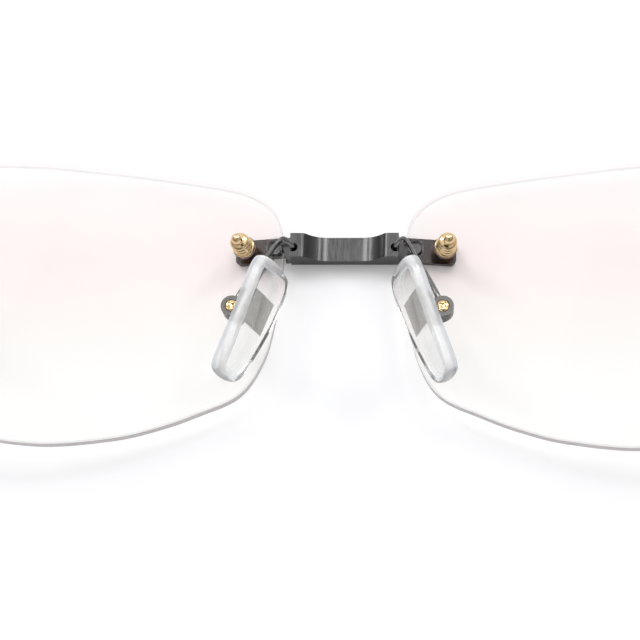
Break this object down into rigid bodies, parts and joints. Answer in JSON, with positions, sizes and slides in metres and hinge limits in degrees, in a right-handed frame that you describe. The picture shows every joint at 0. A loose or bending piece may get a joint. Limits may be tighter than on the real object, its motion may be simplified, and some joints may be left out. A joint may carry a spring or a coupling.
{
  "type": "rimless spectacles",
  "caption": "Rimless drill-mounted spectacles with folding temples, rocking clear nose pads and pale gradient lenses held by stepped cap nuts.",
  "frame": {"origin": "midway between the two lenses, on the plane that their front faces touch", "axes": "+X to the wearer's right, +Y up to the brow, +Z back to the wearer, along the open temples"},
  "size_m": [0.1352, 0.0408, 0.1457],
  "materials": {
    "tinted_lens": "polished clear lens with a pale rose gradient",
    "gunmetal": "ion-plated gunmetal with a fine brushing",
    "gold": "polished gold plating",
    "clear_plastic": "clear moulded nylon",
    "pad_metal": "cross-hatched stamped plate",
    "pad_clear": "clear glossy moulding",
    "tip_sleeve": "soft dark sleeve"
  },
  "bodies": {
    "frame": {"lens_right": "tinted_lens", "lens_left": "tinted_lens", "bridge": "gunmetal", "nasal_screw_right": "gold", "nasal_screw_left": "gold", "nasal_sleeve_right": "clear_plastic", "nasal_sleeve_left": "clear_plastic", "nasal_nut_right": "gold", "nasal_nut_left": "gold", "pad_arm_right": "gunmetal", "pad_arm_left": "gunmetal", "pad_box_right": "gunmetal", "pad_box_left": "gunmetal", "pad_screw_right": "gold", "pad_screw_left": "gold", "end_piece_right": "gunmetal", "end_piece_left": "gunmetal", "temporal_screw_right": "gold", "temporal_screw_left": "gold", "temporal_sleeve_right": "clear_plastic", "temporal_sleeve_left": "clear_plastic", "temporal_nut_right": "gold", "temporal_nut_left": "gold", "hinge_front_right": "gunmetal", "hinge_front_left": "gunmetal", "hinge_screw_right": "gold", "hinge_screw_left": "gold"},
    "nose_pad_right": {"nose_pad_right": "pad_clear", "pad_insert_right": "pad_metal"},
    "temple_right": {"hinge_back_right": "gunmetal", "temple_right": "gunmetal", "temple_tip_right": "tip_sleeve"},
    "nose_pad_left": {"nose_pad_left": "pad_clear", "pad_insert_left": "pad_metal"},
    "temple_left": {"hinge_back_left": "gunmetal", "temple_left": "gunmetal", "temple_tip_left": "tip_sleeve"}
  },
  "joints": [
    {"name": "temple_fold_right", "type": "hinge", "parent": "frame", "child": "temple_right", "pos_m": [0.06385, 0.0087, 0.0125], "axis": [0, -1, 0], "range_deg": [0, 83]},
    {"name": "temple_fold_left", "type": "hinge", "parent": "frame", "child": "temple_left", "pos_m": [-0.06385, 0.0087, 0.0125], "axis": [0, 1, 0], "range_deg": [0, 90]},
    {"name": "pad_rock_right", "type": "hinge", "parent": "frame", "child": "nose_pad_right", "pos_m": [0.01364, -0.00364, 0.01077], "axis": [0.045, 0.0048, 0.999], "range_deg": [-12, 12]},
    {"name": "pad_rock_left", "type": "hinge", "parent": "frame", "child": "nose_pad_left", "pos_m": [-0.01364, -0.00364, 0.01077], "axis": [-0.045, 0.0048, 0.999], "range_deg": [-12, 12]}
  ]
}
